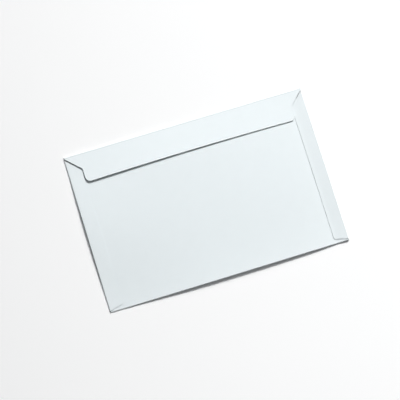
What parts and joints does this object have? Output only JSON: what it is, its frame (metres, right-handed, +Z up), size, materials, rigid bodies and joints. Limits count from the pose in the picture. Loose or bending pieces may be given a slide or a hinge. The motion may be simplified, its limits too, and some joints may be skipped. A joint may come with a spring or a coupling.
{
  "type": "board courier envelope",
  "caption": "Flat envelope folded from one white board blank, with glued side strips, a fold-down closing flap and a peel-off self-adhesive strip under it.",
  "frame": {"origin": "middle of the underside, on the surface that the envelope lies on", "axes": "+X along the long edges, +Y towards the closing flap's hinge, +Z up out of the flap side"},
  "size_m": [0.265, 0.172, 0.0031],
  "materials": {
    "coated_board": "satin",
    "hot_melt_adhesive": "gloss",
    "siliconised_paper": "satin"
  },
  "bodies": {
    "root": {"board_envelope": "coated_board", "adhesive_strip": "hot_melt_adhesive", "release_liner": "siliconised_paper"}
  },
  "joints": []
}
